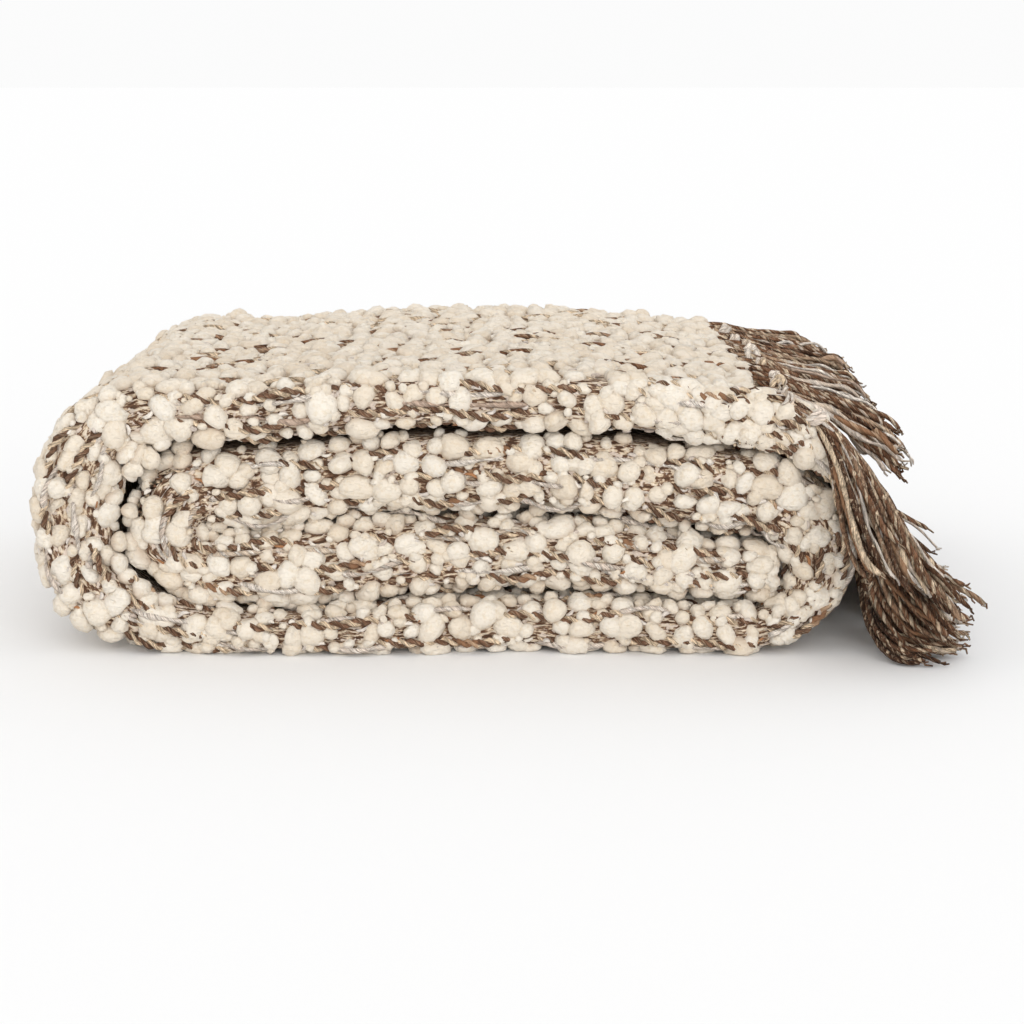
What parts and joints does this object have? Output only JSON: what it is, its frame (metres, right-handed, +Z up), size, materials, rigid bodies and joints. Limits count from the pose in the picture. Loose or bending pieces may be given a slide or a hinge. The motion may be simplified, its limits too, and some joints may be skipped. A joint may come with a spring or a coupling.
{
  "type": "folded throw blanket",
  "caption": "Chunky bouclé throw blanket, folded lengthwise and rolled over itself, with a knotted marl fringe draped over one end; rests flat on a surface",
  "frame": {"origin": "centre of the bounding box on the surface the folded throw rests on", "axes": "+X along the folded strip towards the fringed end, +Y from the front fold to the back edges, +Z up"},
  "size_m": [0.4609, 0.3229, 0.1396],
  "materials": {
    "boucle_cloth": "matte thick-and-thin bouclé wool, cream blobs over brown and beige marl warp",
    "marl_yarn": "matte twisted two-ply yarn, dark brown with beige, with some pale grey and tan yarns"
  },
  "bodies": {
    "root": {"throw": "boucle_cloth", "fringe": "marl_yarn"}
  },
  "joints": []
}
